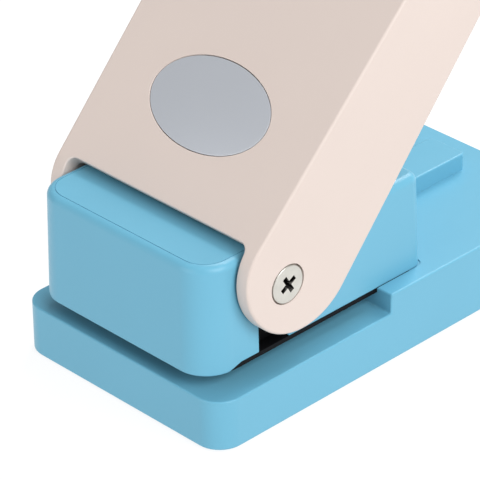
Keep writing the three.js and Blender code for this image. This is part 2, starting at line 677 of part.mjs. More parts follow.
// Wide, thin head sunk flush in the handle's side, with a cross recess.
function pivotScrew(side) {
  const face = HANDLE_HALF_WIDTH - 0.08;
  const [head0, head1] = spread(HANDLE_HALF_WIDTH - SCREW_HEAD_HEIGHT, face, side);
  const [shaft0, shaft1] = spread(AXLE_HALF - 6.5, HANDLE_HALF_WIDTH - 0.5, side);
  const { halfLength, halfWidth, depth } = CROSS;
  const [slot0, slot1] = spread(face - depth, face + 1, side);
  const arm = box(slot0, slot1, -halfLength, halfLength, -halfWidth, halfWidth);
  const cross = arm.add(arm.rotate([90, 0, 0])).rotate([SCREW_TURN_DEGREES, 0, 0]);
  return rod(head0, head1, 0, 0, SCREW_HEAD_RADIUS, 32)
    .add(rod(shaft0, shaft1, 0, 0, SCREW_SHAFT, FINE))
    .subtract(cross);
}

// ---------------------------------------------------------------- assembly

addPart(punch, 'base_shell', baseShell(), BLUE_PLASTIC);
addPart(punch, 'bottom_plate', bottomPlate(), BLUE_PLASTIC);
addPart(punch, 'chip_tray', chipTray(), GREY_PLASTIC);
addPart(punch, 'die_plate', diePlate(), BRIGHT_STEEL);
addPart(punch, 'steel_frame', steelFrame(), BLACK_STEEL);
addPart(punch, 'guide_bush', guideBush(), BRASS);
addPart(punch, 'punch_pin', punchPin(), BRIGHT_STEEL);
addPart(punch, 'punch_cap', punchCap(), BLACK_STEEL);
addPart(punch, 'retaining_clip', retainingClip(), BRIGHT_STEEL);
addPart(punch, 'return_spring', returnSpring(), BRIGHT_STEEL);
addPart(punch, 'front_cover', frontCover(), BLUE_PLASTIC);
addPart(punch, 'rear_cover', rearCover(), BLUE_PLASTIC);

const CORNERS = ['front_left', 'front_right', 'rear_left', 'rear_right'];
CORNERS.forEach((corner, i) => {
  const baseScrew = countersunkScrew(...BASE_SCREWS[i], FOOT_DROP + TOUCH, BASE_SCREW);
  const frameScrew = countersunkScrew(...FRAME_SCREWS[i], DIE_BOTTOM + TOUCH, FRAME_SCREW);
  const coverScrew = countersunkScrew(...COVER_SCREWS[i], FRAME_BOTTOM + TOUCH, COVER_SCREW);
  addPart(punch, `foot_${corner}`, rubberFoot(...FEET[i]), BLACK_RUBBER);
  addPart(punch, `base_screw_${corner}`, baseScrew, NICKEL);
  addPart(punch, `frame_screw_${corner}`, frameScrew, NICKEL);
  addPart(punch, `frame_nut_${corner}`, hexNut(...FRAME_SCREWS[i], FRAME_TOP + TOUCH), NICKEL);
  addPart(punch, `cover_screw_${corner}`, coverScrew, NICKEL);
});

addPart(handle, 'handle_shell', handleShell(), CREAM_PLASTIC);
addPart(handle, 'oval_badge', ovalBadge(), SILVER);
addPart(handle, 'lever_bracket', leverBracket(), BLACK_STEEL);
addPart(handle, 'press_pin', pressPin(), BRIGHT_STEEL);
addPart(handle, 'pivot_axle', pivotAxle(), BRIGHT_STEEL);
['left', 'right'].forEach((name, i) => {
  const side = [-1, 1][i];
  addPart(handle, `pivot_spacer_${name}`, pivotSpacer(side), GREY_PLASTIC);
  addPart(handle, `pivot_screw_${name}`, pivotScrew(side), NICKEL);
  addPart(handle, `bracket_screw_${name}`, bracketScrew(...BRACKET_SCREWS[i]), NICKEL);
});

export default punch;
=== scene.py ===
"""A compact single-hole punch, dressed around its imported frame.

Lengths are in millimetres and angles in degrees, unless a name or a comment says otherwise.
"""

import json
import math

import bmesh
import bpy
from mathutils import Matrix, Vector


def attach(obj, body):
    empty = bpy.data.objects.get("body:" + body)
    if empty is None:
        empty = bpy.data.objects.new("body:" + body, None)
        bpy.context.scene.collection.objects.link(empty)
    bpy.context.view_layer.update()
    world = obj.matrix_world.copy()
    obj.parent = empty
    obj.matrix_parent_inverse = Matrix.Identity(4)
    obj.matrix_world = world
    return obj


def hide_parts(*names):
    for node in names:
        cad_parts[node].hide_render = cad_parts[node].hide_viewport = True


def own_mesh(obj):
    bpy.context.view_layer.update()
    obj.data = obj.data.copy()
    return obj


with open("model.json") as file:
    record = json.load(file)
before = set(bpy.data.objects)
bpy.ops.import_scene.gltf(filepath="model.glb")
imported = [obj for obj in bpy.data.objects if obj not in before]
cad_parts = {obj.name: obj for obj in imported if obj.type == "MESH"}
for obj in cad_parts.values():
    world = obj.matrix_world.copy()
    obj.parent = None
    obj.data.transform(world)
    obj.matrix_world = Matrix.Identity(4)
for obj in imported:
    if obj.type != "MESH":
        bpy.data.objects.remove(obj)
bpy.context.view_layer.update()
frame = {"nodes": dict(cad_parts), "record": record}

MM = 0.001


# ---------------------------------------------------------------- camera and light

CAMERA_PLACE_M = (0.32475, -0.3295, 0.28826)
CAMERA_AZIMUTH, CAMERA_ELEVATION, CAMERA_ROLL = 45.89, 30.82, -0.75
CAMERA_LENS, CAMERA_SENSOR = 243.8, 36
CAMERA_NEAR_M, CAMERA_FAR_M = 0.01, 20

WORLD_STRENGTH = 0.34
LIGHT_TARGET_M = (0, 0, 0.03)
LIGHTS = (  # name, place in metres, size in metres, power in watts
    ("Key", (0.95, -0.05, 0.72), 0.8, 13),
    ("Front", (-0.25, -1.15, 0.32), 1.0, 6.5),
    ("Back", (-0.16, 0.76, 0.92), 0.7, 12),
)


def make_camera():
    azimuth, elevation, roll = (math.radians(a) for a in
                                (CAMERA_AZIMUTH, CAMERA_ELEVATION, CAMERA_ROLL))
    across = Vector((math.cos(azimuth), math.sin(azimuth), 0))
    forward = Vector((-math.sin(azimuth) * math.cos(elevation),
                      math.cos(azimuth) * math.cos(elevation), -math.sin(elevation)))
    above = across.cross(forward)
    right = math.cos(roll) * across + math.sin(roll) * above
    up = math.cos(roll) * above - math.sin(roll) * across
    data = bpy.data.cameras.new("Camera")
    data.sensor_width = CAMERA_SENSOR
    data.lens = CAMERA_LENS
    data.clip_start, data.clip_end = CAMERA_NEAR_M, CAMERA_FAR_M
    camera = bpy.data.objects.new("Camera", data)
    turn = Matrix((right, up, -forward)).transposed().to_4x4()
    camera.matrix_world = Matrix.Translation(CAMERA_PLACE_M) @ turn
    bpy.context.scene.collection.objects.link(camera)
    bpy.context.scene.camera = camera


def area_light(name, place, size, power):
    data = bpy.data.lights.new(name, "AREA")
    data.shape = "SQUARE"
    data.size = size
    data.energy = power
    light = bpy.data.objects.new(name, data)
    light.location = place
    light.rotation_mode = "QUATERNION"
    aim = Vector(LIGHT_TARGET_M) - Vector(place)
    light.rotation_quaternion = aim.to_track_quat("-Z", "Y")
    bpy.context.scene.collection.objects.link(light)


def make_studio():
    world = bpy.data.worlds.new("Studio")
    world.use_nodes = True
    background = world.node_tree.nodes["Background"]
    background.inputs["Color"].default_value = (1, 1, 1, 1)
    background.inputs["Strength"].default_value = WORLD_STRENGTH
    bpy.context.scene.world = world
    for light in LIGHTS:
        area_light(*light)
    bpy.context.scene.view_settings.view_transform = "Standard"


# ---------------------------------------------------------------- materials

NOISE_LOW, NOISE_HIGH = 0.3, 0.7       # nearly all of a noise texture lies between these
EDGE_REACH, EDGE_SAMPLES = 0.5, 4
EDGE_NONE, EDGE_FULL = 1.0, 0.8        # cosine between the true and the bevelled normal
# Painted shade: recesses are darkened towards near black where little of the surroundings is open.
RECESS_SHADE_NONE, RECESS_SHADE_FULL = 0.9, 0.6  # share of the surroundings that is open
RECESS_SHADE_SAMPLES = 8
# Painted shade: the near-black colour laid into narrow recesses, where shade falls.
RECESS_SHADE_COLOUR = (0.012, 0.011, 0.01)
RELIEF_HEIGHT = 0.1
SMOOTHER, ROUGHER = 0.9, 1.12          # how far the roughness strays from what is asked


def map_range(nodes, links, source, from_low, from_high, low=0.0, high=1.0):
    node = nodes.new("ShaderNodeMapRange")
    node.inputs["From Min"].default_value = from_low
    node.inputs["From Max"].default_value = from_high
    node.inputs["To Min"].default_value = low
    node.inputs["To Max"].default_value = high
    links.new(source, node.inputs["Value"])
    return node.outputs["Result"]


def noise(nodes, links, scale, detail, stretch=(1, 1, 1)):
    place = nodes.new("ShaderNodeTexCoord")
    mapping = nodes.new("ShaderNodeMapping")
    mapping.inputs["Scale"].default_value = stretch
    texture = nodes.new("ShaderNodeTexNoise")
    texture.inputs["Scale"].default_value = scale
    texture.inputs["Detail"].default_value = detail
    links.new(place.outputs["Object"], mapping.inputs["Vector"])
    links.new(mapping.outputs["Vector"], texture.inputs["Vector"])
    return texture.outputs["Fac"]


def edge_wear_highlight_mask(nodes, links, gain):
    """Up to gain where the surface turns sharply, 0 on the flat: lighter edges, partly wear and
    partly a painted highlight.
    """
    bevel = nodes.new("ShaderNodeBevel")
    bevel.samples = EDGE_SAMPLES
    bevel.inputs["Radius"].default_value = EDGE_REACH * MM
    geometry = nodes.new("ShaderNodeNewGeometry")
    dot = nodes.new("ShaderNodeVectorMath")
    dot.operation = "DOT_PRODUCT"
    links.new(bevel.outputs["Normal"], dot.inputs[0])
    links.new(geometry.outputs["Normal"], dot.inputs[1])
    return map_range(nodes, links, dot.outputs["Value"], EDGE_NONE, EDGE_FULL, high=gain)


def recess_shade_mask(nodes, links, reach):
    """Painted shade: 1 deep inside a narrow recess, where shade falls, 0 on open surfaces."""
    occlusion = nodes.new("ShaderNodeAmbientOcclusion")
    occlusion.samples = RECESS_SHADE_SAMPLES
    occlusion.only_local = True
    occlusion.inputs["Distance"].default_value = reach * MM
    return map_range(nodes, links, occlusion.outputs["AO"], RECESS_SHADE_NONE, RECESS_SHADE_FULL)


def mix(nodes, links, factor, a, b):
    """a where the factor is 0 and b where it is 1; each is a colour or a socket."""
    node = nodes.new("ShaderNodeMix")
    node.data_type = "RGBA"
    links.new(factor, node.inputs["Factor"])
    for value, socket in ((a, node.inputs["A"]), (b, node.inputs["B"])):
        if isinstance(value, tuple):
            socket.default_value = (*value, 1)
        else:
            links.new(value, socket)
    return node.outputs["Result"]


def material(name, colour, roughness, metallic=0.0, vary=0.03, mottle=40, grain=900, bump=0.05,
             edge_wear_highlight=0.15, wear_highlight_colour=None, stretch=(1, 1, 1), specular=0.5, recess_shade=0.0):
    """A finish with a faint mottle, a fine grain, lighter edges (partly wear, partly a painted
    highlight) and, if asked, painted shade in recesses.

    vary and mottle are the strength and scale of the mottle; grain, stretch and bump are the
    scale, direction and depth of the grain; edge_wear_highlight is how much of
    wear_highlight_colour the edges take, partly as wear and partly as a painted highlight;
    recess_shade is how wide the painted shade in a recess reaches.
    """
    made = bpy.data.materials.new(name)
    made.use_nodes = True
    nodes, links = made.node_tree.nodes, made.node_tree.links
    shader = nodes["Principled BSDF"]
    shader.inputs["Metallic"].default_value = metallic
    shader.inputs["Specular IOR Level"].default_value = specular
    dark = tuple(c * (1 - vary) for c in colour)
    light = tuple(min(c * (1 + vary), 1) for c in colour)
    cloud = map_range(nodes, links, noise(nodes, links, mottle, 3), NOISE_LOW, NOISE_HIGH)
    tint = mix(nodes, links, cloud, dark, light)
    # Lighter edges: partly wear, partly a painted highlight where rounded edges catch the light.
    wear_highlight_colour = wear_highlight_colour or tuple(min(c * 1.25 + 0.02, 1) for c in colour)
    tint = mix(nodes, links, edge_wear_highlight_mask(nodes, links, edge_wear_highlight), tint, wear_highlight_colour)
    # Painted shade: narrow recesses, such as the screw's cross, darken towards near black.
    if recess_shade:
        tint = mix(nodes, links, recess_shade_mask(nodes, links, recess_shade), tint, RECESS_SHADE_COLOUR)
    links.new(tint, shader.inputs["Base Color"])
    fine = noise(nodes, links, grain, 4, stretch)
    rough = map_range(nodes, links, fine, NOISE_LOW, NOISE_HIGH,
                      roughness * SMOOTHER, roughness * ROUGHER)
    links.new(rough, shader.inputs["Roughness"])
    relief = nodes.new("ShaderNodeBump")
    relief.inputs["Strength"].default_value = bump
    relief.inputs["Distance"].default_value = RELIEF_HEIGHT * MM
    links.new(fine, relief.inputs["Height"])
    links.new(relief.outputs["Normal"], shader.inputs["Normal"])
    return made


def make_materials():
    """The finishes by the record's slot names."""
    return {
        "blue_plastic": material("BluePlastic", (0.133, 0.388, 0.535), 0.34, vary=0.015,
                                 edge_wear_highlight=0.03, specular=0.32),
        "cream_plastic": material("CreamPlastic", (0.615, 0.525, 0.48), 0.42, vary=0.012,
                                  edge_wear_highlight=0.1, wear_highlight_colour=(0.70, 0.62, 0.57)),
        "silver": material("SatinSilver", (0.52, 0.545, 0.59), 0.34, 0.4, vary=0.02,
                           grain=2600, bump=0.04, edge_wear_highlight=0.3),
        "black_steel": material("BlackSteel", (0.006, 0.006, 0.007), 0.45, vary=0.2, bump=0.08,
                                edge_wear_highlight=0.2, wear_highlight_colour=(0.014, 0.014, 0.015), specular=0.08),
        "bright_steel": material("GroundSteel", (0.56, 0.57, 0.59), 0.28, 1.0, vary=0.05,
                                 grain=500, bump=0.02, edge_wear_highlight=0.3, stretch=(0.15, 4, 4)),
        # The nickel's recesses take painted shade out to this reach.
        "nickel": material("DullNickel", (0.60, 0.585, 0.54), 0.35, 0.7, vary=0.06, mottle=600,
                           grain=2200, bump=0.06, edge_wear_highlight=0.3, recess_shade=1.1),
        "brass": material("TurnedBrass", (0.62, 0.43, 0.17), 0.3, 1.0, vary=0.08, bump=0.08,
                          stretch=(0.3, 0.3, 6)),
        "black_rubber": material("BlackRubber", (0.022, 0.022, 0.023), 0.85, vary=0.2, bump=0.3,
                                 edge_wear_highlight=0.2),
        "grey_plastic": material("GreyPlastic", (0.27, 0.28, 0.29), 0.5, vary=0.04, bump=0.12),
    }


# ---------------------------------------------------------------- mesh tools

POST_SIDES, ROUND_SIDES, OVAL_SIDES = 48, 64, 96
MERGE_DISTANCE = 0.002
FLAT_ANGLE = 0.5        # faces that meet at less than this are merged into one
ROUNDED_ANGLE = 32      # edges sharper than this are rounded
SHADED_ANGLE = 42       # edges sharper than this keep a crease in the shading
NORMAL_WEIGHT = 60


def to_object(name, bm):
    mesh = bpy.data.meshes.new(name)
    bm.to_mesh(mesh)
    bm.free()
    made = bpy.data.objects.new(name, mesh)
    bpy.context.scene.collection.objects.link(made)
    return made


def arc(x, y, radius, start, stop, steps=10, second=None):
    """Points on a circle, or on an ellipse when its second radius, along y, is given."""
    second = radius if second is None else second
    angles = (math.radians(start + (stop - start) * i / steps) for i in range(steps + 1))
    return [(x + radius * math.cos(a), y + second * math.sin(a)) for a in angles]


def ring(x, y, radius, sides, second=None):
    """A closed arc, without its first point again at the end."""
    return arc(x, y, radius, 0, 360 - 360 / sides, sides - 1, second)


def rounded_plan(half, y0, y1, front, rear):
    """A rectangle as wide as twice half, with the corner radii front at y0 and rear at y1."""
    points = []
    for side, y, radius, start in ((1, y0, front, -90), (1, y1, rear, 0),
                                   (-1, y1, rear, 90), (-1, y0, front, 180)):
        x = side * half
        inward = radius if y == y0 else -radius
        if radius:
            points += arc(x - side * radius, y + inward, radius, start, start + 90)
        else:
            points.append((x, y))
    return points


def upright(a, b, h):
    """For an outline in x and y, raised along z."""
    return (a, b, h)


def sideways(a, b, h):
    """For an outline in y and z, raised along x."""
    return (h, a, b)


def loft(name, loops):
    """A closed skin through loops of points with equal counts, capped at both ends."""
    bm = bmesh.new()
    rings = [[bm.verts.new(Vector(p) * MM) for p in loop] for loop in loops]
    bm.faces.new(rings[0])
    bm.faces.new(rings[-1])
    for low, high in zip(rings, rings[1:]):
        for i in range(len(low)):
            bm.faces.new((low[i - 1], low[i], high[i], high[i - 1]))
    bmesh.ops.recalc_face_normals(bm, faces=bm.faces)
    return to_object(name, bm)


def prism(outline, low, high, place=upright):
    return loft("tool", [[place(a, b, h) for a, b in outline] for h in (low, high)])


def block(x0, x1, y0, y1, z0, z1):
    return prism([(x0, y0), (x1, y0), (x1, y1), (x0, y1)], z0, z1)


def post(x, y, z0, z1, radius):
    return prism(ring(x, y, radius, POST_SIDES), z0, z1)


def rod(x0, x1, y, z, radius):
    return prism(ring(y, z, radius, ROUND_SIDES), x0, x1, sideways)


def combine(target, tool, operation):
    """Applies a boolean to the target and uses the tool up."""
    modifier = target.modifiers.new("Combine", "BOOLEAN")
    modifier.operation = operation
    modifier.solver = "EXACT"
    modifier.object = tool
    graph = bpy.context.evaluated_depsgraph_get()
    result = bpy.data.meshes.new_from_object(target.evaluated_get(graph))
    target.modifiers.clear()
    target.data = result
    bpy.data.objects.remove(tool)


def cut(target, *tools):
    for tool in tools:
        combine(target, tool, "DIFFERENCE")


def join(target, *tools):
    for tool in tools:
        combine(target, tool, "UNION")


def bend(target, move):
    """Moves every point of the target by a function of its x, y and z."""
    for vertex in target.data.vertices:
        vertex.co = Vector(move(*(vertex.co / MM))) * MM


def round_edges(target, width, segments=4, where=None, clamp=False):
    """Rounds the sharp edges, or only those whose middle passes the test in where."""
    bm = bmesh.new()
    bm.from_mesh(target.data)
    bmesh.ops.remove_doubles(bm, verts=bm.verts, dist=MERGE_DISTANCE * MM)
    bmesh.ops.dissolve_limit(bm, angle_limit=math.radians(FLAT_ANGLE), verts=bm.verts,
                             edges=bm.edges)
    sharp = []
    for edge in bm.edges:
        middle = (edge.verts[0].co + edge.verts[1].co) / 2 / MM
        if len(edge.link_faces) == 2 and edge.calc_face_angle() > math.radians(ROUNDED_ANGLE):
            if where is None or where(*middle):
                sharp.append(edge)
    bmesh.ops.bevel(bm, geom=sharp, offset=width * MM, offset_type="OFFSET", segments=segments,
                    profile=0.5, affect="EDGES", clamp_overlap=clamp)
    bmesh.ops.recalc_face_normals(bm, faces=bm.faces)
    bm.to_mesh(target.data)
    bm.free()


def dress(target, name, body, slot, nodes):
    """Gives a finished piece smooth shading, a material and a place on a body."""
    target.name = name
    mesh = target.data
    mesh.materials.clear()
    mesh.materials.append(MATERIALS[slot])
    mesh.polygons.foreach_set("use_smooth", [True] * len(mesh.polygons))
    mesh.set_sharp_from_angle(angle=math.radians(SHADED_ANGLE))
    weighted = target.modifiers.new("Normals", "WEIGHTED_NORMAL")
    weighted.mode = "FACE_AREA"
    weighted.weight = NORMAL_WEIGHT
    weighted.keep_sharp = True
    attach(target, body)
    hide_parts(*nodes)


# ---------------------------------------------------------------- base

BEYOND = 30             # well outside the punch, for tools that cut right through
FRONT, REAR = -42.15, 42.15
BASE_HALF, BASE_CORNER = 23.15, 4.5
BASE_BOTTOM = 0.4       # the rubber feet reach lower, to the floor
BASE_EDGE = 0.3
THROAT_FLOOR = 9.4
DECK_TOP = 13.0
PAPER_STOP = -3.35
PUNCH_Y = -15.35
REAR_COVER_END = 7.65
RIB_START, RIB_END = REAR_COVER_END + 0.8, FRONT + 77.5
RIB_HALF, RIB_CORNER, RIB_TOP = 3.9, 0.8, 16.15
POCKET_START, POCKET_CORNER = PAPER_STOP - 1, 1.6
PLATE_POCKET_HALF, PLATE_POCKET_END, PLATE_POCKET_FLOOR = 19.9, 5.4, 12.01
COVER_SEAT_HALF, COVER_SEAT_FLOOR = 20.05, 12.83
INSIDE_HALF, INSIDE_WALL, INSIDE_CORNER, INSIDE_CEILING = 20.8, 2.2, 2.4, 7.4
DECK_HOLLOW = (8.2, 37.55)          # from front to rear
DIE_SEAT, DIE_SEAT_HALF = (-30.15, 5.3), 15.1
TRAY_MOUTH_HALF, TRAY_MOUTH_TOP, TRAY_SILL_TOP = 14.6, 7.1, 1.7
BASE_SCREWS = [(x, y) for y in (-27, 27) for x in (-18, 18)]
BASE_BOSS_RADIUS, BASE_BOSS_BORE = 2.5, 1.15
FRAME_SCREWS = [(-11.5, -0.6), (11.5, -0.6), (-5, 1.9), (5, 1.9)]
FRAME_SCREW_HOLE = 1.35


def make_base():
    base = prism(rounded_plan(BASE_HALF, FRONT, REAR, BASE_CORNER, BASE_CORNER),
                 BASE_BOTTOM, DECK_TOP)
    cut(base, block(-BEYOND, BEYOND, FRONT - 5, PAPER_STOP, THROAT_FLOOR, 20))
    round_edges(base, BASE_EDGE, 4)
    rib = prism(rounded_plan(RIB_HALF, RIB_START, RIB_END, 0, RIB_CORNER), DECK_TOP - 1, RIB_TOP)
    round_edges(rib, BASE_EDGE, 4)
    join(base, rib)
    # The pocket for the steel frame's plate, and the shallow seat of the rear cover over it.
    cut(base, prism(rounded_plan(PLATE_POCKET_HALF, POCKET_START, PLATE_POCKET_END,
                                 0, POCKET_CORNER), PLATE_POCKET_FLOOR, 20))
    cut(base, prism(rounded_plan(COVER_SEAT_HALF, POCKET_START, REAR_COVER_END + 0.1,
                                 0, POCKET_CORNER), COVER_SEAT_FLOOR, 13.4))
    # The hollow underside, deeper below the deck, and the die plate's opening in the throat floor.
    cut(base, prism(rounded_plan(INSIDE_HALF, FRONT + INSIDE_WALL, REAR - INSIDE_WALL,
                                 INSIDE_CORNER, INSIDE_CORNER), -1, INSIDE_CEILING))
    cut(base, block(-INSIDE_HALF, INSIDE_HALF, *DECK_HOLLOW, 1, 11))
    cut(base, block(-DIE_SEAT_HALF, DIE_SEAT_HALF, *DIE_SEAT, 1, THROAT_FLOOR + 0.04))
    for x, y in BASE_SCREWS:
        join(base, post(x, y, 1.75, 7.9 if y < 0 else 12, BASE_BOSS_RADIUS))
        cut(base, post(x, y, 0, 6.5, BASE_BOSS_BORE))
    cut(base, *(post(x, y, 1, 14, FRAME_SCREW_HOLE) for x, y in FRAME_SCREWS))
    # The mouth of the chip tray in the rear wall, with its sill.
    cut(base, block(-TRAY_MOUTH_HALF, TRAY_MOUTH_HALF, REAR - 5, REAR + 1, 0, TRAY_MOUTH_TOP))
    join(base, block(-TRAY_MOUTH_HALF - 1, TRAY_MOUTH_HALF + 1, REAR - INSIDE_WALL, REAR - 0.55,
                     BASE_BOTTOM, TRAY_SILL_TOP))
    dress(base, "base_moulding", "base", "blue_plastic", ["base_shell"])


# ---------------------------------------------------------------- head covers

HEAD_HALF = 19.95
HEAD_BOTTOM = 12.85
LIP_BOTTOM = 12.15      # of the front cover's lip, which hides the steel plate's front edge
RISE_START, RISE_END = -36.9, -34   # where the lower edge climbs from the lip
LIP_WALL, LIP_CORNER = 1.42, 4.3
PIVOT_Y, PIVOT_Z = -26.55, 25.0
PIVOT_HOLE = 5          # radius
COVER_WALL = 1.8
COVER_INSIDE_HALF = 18.15
COVER_BOSS_X, COVER_BOSS_RADIUS, COVER_BOSS_BORE = 13, 2.4, 1.05
COVER_BOSS_BORE_TOP = 19.85
SIDE_DRAFT = 0.016
FRONT_FACE, FRONT_CORNER, FRONT_TOP = -41.75, 5.7, 31.5
FRONT_TOP_EDGE, FRONT_LOW_EDGE, FRONT_DRAFT, FRONT_BOSS_Y = 1.3, 0.25, 0.016, -37.4
GROOVE_WIDTH, GROOVE_DEPTH, GROOVE_CORNER = 0.13, 0.1, 4.4
REAR_CORNER, REAR_TOP = 2.2, 30.1
REAR_TOP_EDGE, REAR_LOW_EDGE, REAR_DRAFT, REAR_BOSS_Y = 1.45, 0.3, 0.04, -6.4
LEVER_WINDOW_HALF, LEVER_WINDOW_CORNER = 14.4, 1.5


def drafted(target, hinge, end, draft):
    """Leans the sides in towards the top, and the end face too, about the plane y = hinge."""
    def lean(x, y, z):
        height = max(z - HEAD_BOTTOM, 0)
        return (x * (1 - SIDE_DRAFT * height / HEAD_HALF),
                y - (y - hinge) * draft * height / abs(end - hinge), z)
    bend(target, lean)


def panel_groove(half, y0, y1, bottom):
    """The tool for a fine parting line round the flat top of a cover."""
    groove = prism(rounded_plan(half, y0, y1, GROOVE_CORNER, 0), bottom, 40)
    cut(groove, prism(rounded_plan(half - GROOVE_WIDTH, y0 + GROOVE_WIDTH, y1 + 5,
                                   GROOVE_CORNER - GROOVE_WIDTH, 0), 0, 50))
    return groove


def add_bosses(cover, y, top):
    """Two screw bosses inside a cover, hung from its top."""
    for x in (-COVER_BOSS_X, COVER_BOSS_X):
        join(cover, post(x, y, HEAD_BOTTOM, top - 1, COVER_BOSS_RADIUS))
        cut(cover, post(x, y, 10, COVER_BOSS_BORE_TOP, COVER_BOSS_BORE))


def make_front_cover():
    front, rear, top = FRONT_FACE, PIVOT_Y - 3.5, FRONT_TOP
    cover = prism(rounded_plan(HEAD_HALF, front, rear, FRONT_CORNER, 0), LIP_BOTTOM, top)
    # Behind the lip the lower edge climbs to where the cover rests.
    behind_lip = [(RISE_START, LIP_BOTTOM - 0.1), (RISE_END, HEAD_BOTTOM),
                  (rear + 1, HEAD_BOTTOM), (rear + 1, 11), (RISE_START, 11)]
    cut(cover, prism(behind_lip, -BEYOND, BEYOND, sideways))
    round_edges(cover, FRONT_TOP_EDGE, 6, lambda x, y, z: z > top - 0.1 and y < rear - 0.1)
    round_edges(cover, FRONT_LOW_EDGE, 3,
                lambda x, y, z: y > rear - 0.1 or z < HEAD_BOTTOM + 0.1)
    cut(cover, panel_groove(HEAD_HALF - FRONT_TOP_EDGE, front + FRONT_TOP_EDGE, rear + 3,
                            top - GROOVE_DEPTH))
    cut(cover, prism(rounded_plan(HEAD_HALF - LIP_WALL, front + LIP_WALL, rear + 1,
                                  LIP_CORNER, 0), 0, HEAD_BOTTOM))
    cut(cover, prism(rounded_plan(COVER_INSIDE_HALF, front + COVER_WALL, rear + 1, 4.4, 0),
                     0, top - COVER_WALL))
    drafted(cover, rear, front, FRONT_DRAFT)
    add_bosses(cover, FRONT_BOSS_Y, top)
    cut(cover, rod(-BEYOND, BEYOND, PIVOT_Y, PIVOT_Z, PIVOT_HOLE))
    dress(cover, "front_head_cover", "base", "blue_plastic", ["front_cover"])


def make_rear_cover():
    front, rear, top = PIVOT_Y + 3, REAR_COVER_END, REAR_TOP
    cover = prism(rounded_plan(HEAD_HALF, front, rear, 0, REAR_CORNER), HEAD_BOTTOM, top)
    round_edges(cover, REAR_TOP_EDGE, 6, lambda x, y, z: z > top - 0.1 and y > front + 0.1)
    round_edges(cover, REAR_LOW_EDGE, 3,
                lambda x, y, z: y < front + 0.1 or z < HEAD_BOTTOM + 0.1)
    cut(cover, prism(rounded_plan(COVER_INSIDE_HALF, front - 1, rear - COVER_WALL, 0, 0.8),
                     0, top - COVER_WALL))
    drafted(cover, front, rear, REAR_DRAFT)
    add_bosses(cover, REAR_BOSS_Y, top)
    # The window in the top for the lever bracket and its press pin.
    cut(cover, prism(rounded_plan(LEVER_WINDOW_HALF, front - 3, PUNCH_Y + 7.5,
                                  0, LEVER_WINDOW_CORNER), top - 3, 50))
    cut(cover, rod(-BEYOND, BEYOND, PIVOT_Y, PIVOT_Z, PIVOT_HOLE))
    dress(cover, "rear_head_cover", "base", "blue_plastic", ["rear_cover"])


# ---------------------------------------------------------------- handle
# Everything here is drawn with the handle level and the pivot at the origin, then put in place
# with TO_HANDLE.

HANDLE_LENGTH = 68
OUTER, INNER = 22.85, 20.2
HANDLE_TOP = 10.35
HANDLE_EDGE, RIM_EDGE = 0.5, 0.28
HANDLE_TAPER = 4.74     # between the top and the lower edge
FREE_CORNER = 8         # of the plan, at the free end
FREE_TOP_RADIUS, FREE_BOTTOM_RADIUS = 6, 2
NOSE_RADIUS, NOSE_Y = 11.45, 3.5
NOSE_TRIM = 2           # the upper half of the nose is an ellipse, narrower by this
PANEL_UNDERSIDE = 7.65
ARM_GAP_END, ARM_GAP_CORNER = 1.9, 1.6
RIM_FRONT = 3.6         # the edges of the opening between the arms lie in front of this
PIVOT_ZONE = 4          # no rim edge nearer to the axle than this is rounded
WIDENING = 0.00092      # share of the width gained with each millimetre from the pivot
AXLE_BORE = 1.6
BRACKET_SCREW_X, BRACKET_SCREW_Y = 7, 29
BRACKET_BOSS_BOTTOM, BRACKET_BOSS_RADIUS, BRACKET_BOSS_BORE = 5.82, 2.6, 1.15
COUNTERBORE_RADIUS, COUNTERBORE_DEPTH, COUNTERBORE_RISE = 3.5, 0.95, 0.15
HANDLE_ANGLE = math.radians(46.1)
TO_HANDLE = (Matrix.Translation((0, PIVOT_Y * MM, PIVOT_Z * MM))
             @ Matrix.Rotation(HANDLE_ANGLE, 4, "X"))
BADGE_Y, BADGE_A, BADGE_B = 18.8, 12.5, 7.7
BADGE_SUNK, BADGE_EDGE, BADGE_DOME = 0.04, 0.1, 0.3
BADGE_GAP, BADGE_MOUTH_GAP = 0.12, 0.18


def handle_profile():
    """The handle's outline from the side, as pairs of y and z."""
    taper, length = math.radians(HANDLE_TAPER), HANDLE_LENGTH
    nose_z = HANDLE_TOP - NOSE_RADIUS
    start = (NOSE_Y + NOSE_RADIUS * math.sin(taper), nose_z - NOSE_RADIUS * math.cos(taper))
    end = start[1] + (length - start[0]) * math.tan(taper)
    points = arc(length - FREE_BOTTOM_RADIUS, end + FREE_BOTTOM_RADIUS, FREE_BOTTOM_RADIUS,
                 -90, 0)
    points += arc(length - FREE_TOP_RADIUS, HANDLE_TOP - FREE_TOP_RADIUS, FREE_TOP_RADIUS,
                  0, 90, 14)
    points += arc(NOSE_Y - NOSE_TRIM, nose_z, NOSE_RADIUS - NOSE_TRIM, 90, 178, 22, NOSE_RADIUS)
    points += arc(NOSE_Y, nose_z, NOSE_RADIUS, 180, 270 + HANDLE_TAPER, 28)
    return points


def flare(x, y, z):
    return (x * (1 + WIDENING * y), y, z)


def unflare(x, y, z):
    return (x / (1 + WIDENING * y), y, z)


def on_rim(x, y, z):
    """The inner edges of the walls and of the opening between the arms."""
    along_wall = INNER - 0.1 < abs(x) < INNER + 0.1
    across_front = y < RIM_FRONT and abs(x) < INNER + 0.1 and z > PANEL_UNDERSIDE - 0.1
    return (along_wall or across_front) and math.hypot(y, z) > PIVOT_ZONE


def badge_oval(grow, z):
    points = ring(0, BADGE_Y, BADGE_A + grow, OVAL_SIDES, BADGE_B + grow)
    return [(x, y, z) for x, y in points]


